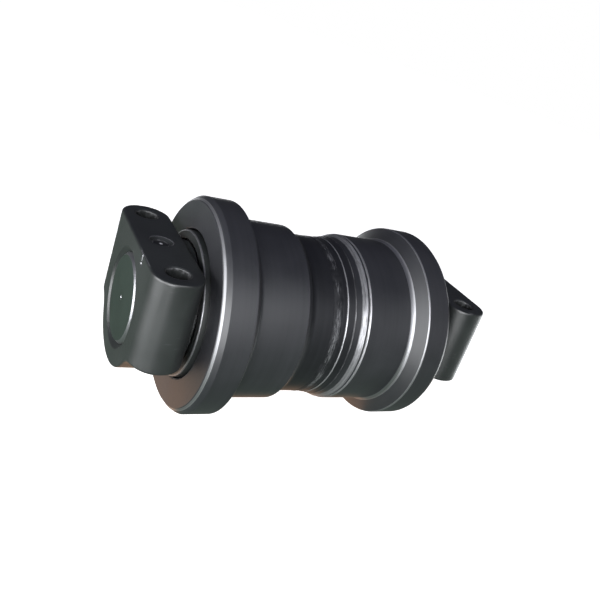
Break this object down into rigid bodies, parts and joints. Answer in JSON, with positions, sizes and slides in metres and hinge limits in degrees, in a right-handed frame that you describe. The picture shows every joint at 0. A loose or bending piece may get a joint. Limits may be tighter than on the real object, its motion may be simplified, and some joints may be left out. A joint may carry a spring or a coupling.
{
  "type": "track roller",
  "caption": "Double-flange bottom track roller: a turned steel shell that spins on a fixed shaft between two bolt-on end collars.",
  "frame": {"origin": "on the shaft's axis at the middle of the shell's width, the centre of the whole part's box", "axes": "+Y along the shaft, which is the axis the shell turns about; +Z square to the collars' flat mounting pads, towards the track frame; +X completes the right-handed frame, along the machine"},
  "size_m": [0.189, 0.333, 0.189],
  "materials": {
    "shell_paint": "satin near-black paint over turned forged steel, edges rubbed bright",
    "collar_paint": "satin near-black paint over a steel casting, fine cast grain",
    "shaft_steel": "turned steel, end face painted over",
    "weld_metal": "turned-off weld, painted, scuffed to bare steel in streaks",
    "pin_steel": "painted over, punch mark bright",
    "plug_steel": "zinc-plated",
    "copper": "soft copper",
    "bronze": "bored and faced",
    "seal_iron": "lapped face, ground back",
    "rubber": "matte black nitrile"
  },
  "bodies": {
    "mounting": {"shaft": "shaft_steel", "collar_left": "collar_paint", "collar_right": "collar_paint", "lock_pin_left": "pin_steel", "lock_pin_right": "pin_steel", "o_ring_left": "rubber", "o_ring_right": "rubber", "oil_plug": "plug_steel", "plug_washer": "copper", "collar_seal_ring_left": "seal_iron", "collar_seal_ring_right": "seal_iron", "collar_toric_left": "rubber", "collar_toric_right": "rubber"},
    "roller": {"shell_left": "shell_paint", "shell_right": "shell_paint", "shell_weld": "weld_metal", "bush_left": "bronze", "bush_right": "bronze", "shell_seal_ring_left": "seal_iron", "shell_seal_ring_right": "seal_iron", "shell_toric_left": "rubber", "shell_toric_right": "rubber"}
  },
  "joints": [
    {"name": "roller_spin", "type": "hinge", "parent": "mounting", "child": "roller", "pos_m": [0, 0, 0], "axis": [0, 1, 0], "continuous": true}
  ]
}
